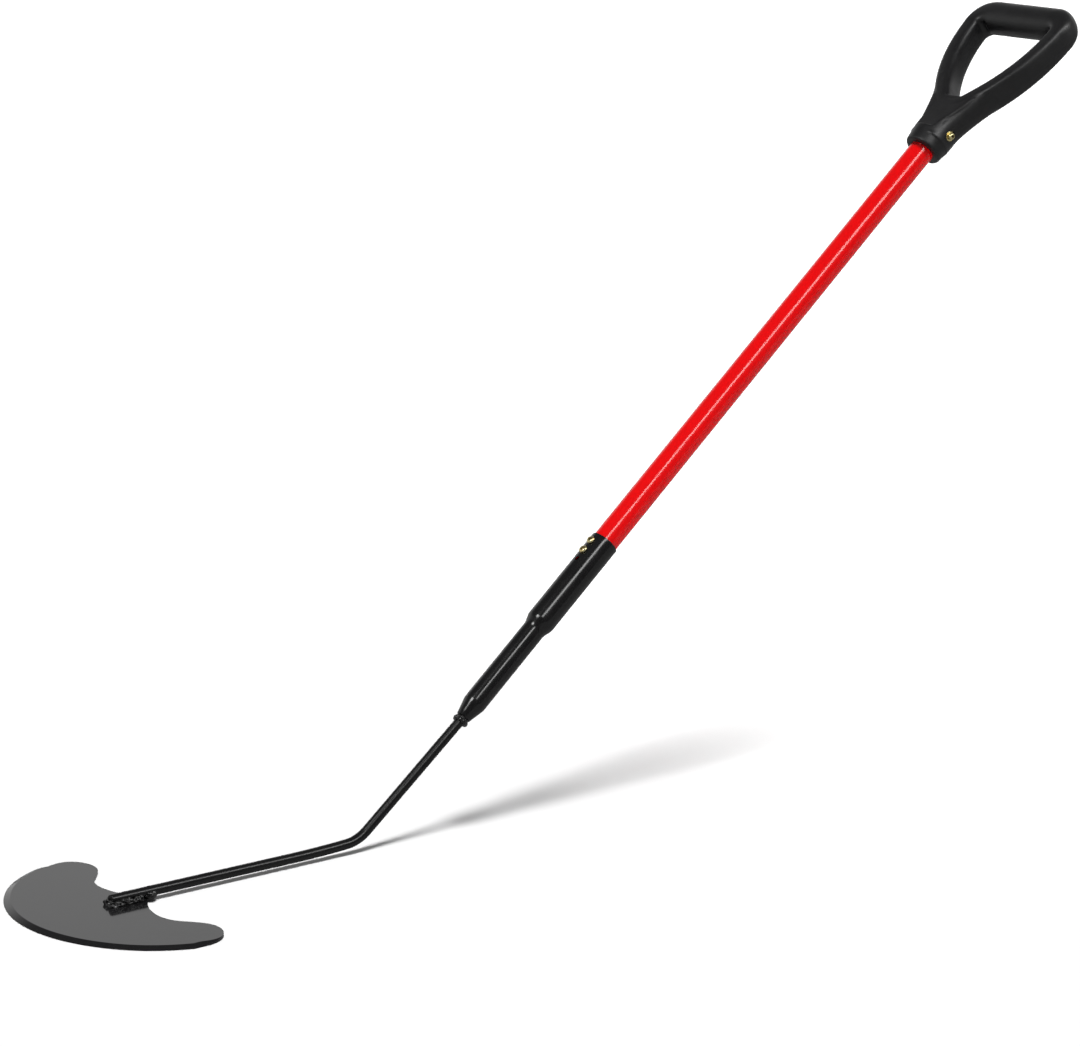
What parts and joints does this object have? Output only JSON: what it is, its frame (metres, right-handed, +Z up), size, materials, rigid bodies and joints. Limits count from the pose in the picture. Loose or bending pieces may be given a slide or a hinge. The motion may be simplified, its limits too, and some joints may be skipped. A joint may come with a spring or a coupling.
{
  "type": "sod cutter",
  "caption": "Hand sod cutter: flat crescent blade with a bevelled edge, welded to a bent rod that rises through a stepped ferrule into a long tube handle with a D-shaped grip",
  "frame": {"origin": "on the blade's flat underside, in the tool's plane of symmetry, under the middle of the blade", "axes": "+X from the blade towards the handle, +Z up from the ground that the blade lies on, XZ is the plane of symmetry of the tool"},
  "size_m": [1.1955, 0.269, 0.728],
  "materials": {
    "black_enamel": "gloss black enamel",
    "painted_weld": "gloss black enamel over a weld bead",
    "red_enamel": "gloss red enamel",
    "yellow_zinc": "yellow zinc plating",
    "black_plastic": "satin moulded plastic"
  },
  "bodies": {
    "root": {"blade": "black_enamel", "neck_rod": "black_enamel", "blade_weld": "painted_weld", "blade_weld_heel": "painted_weld", "neck_weld": "painted_weld", "ferrule": "black_enamel", "ferrule_screw_upper": "yellow_zinc", "ferrule_screw_lower": "yellow_zinc", "handle_tube": "red_enamel", "d_grip": "black_plastic", "grip_bolt": "yellow_zinc", "grip_washer_head": "yellow_zinc", "grip_washer_nut": "yellow_zinc", "grip_nut": "yellow_zinc"}
  },
  "joints": []
}
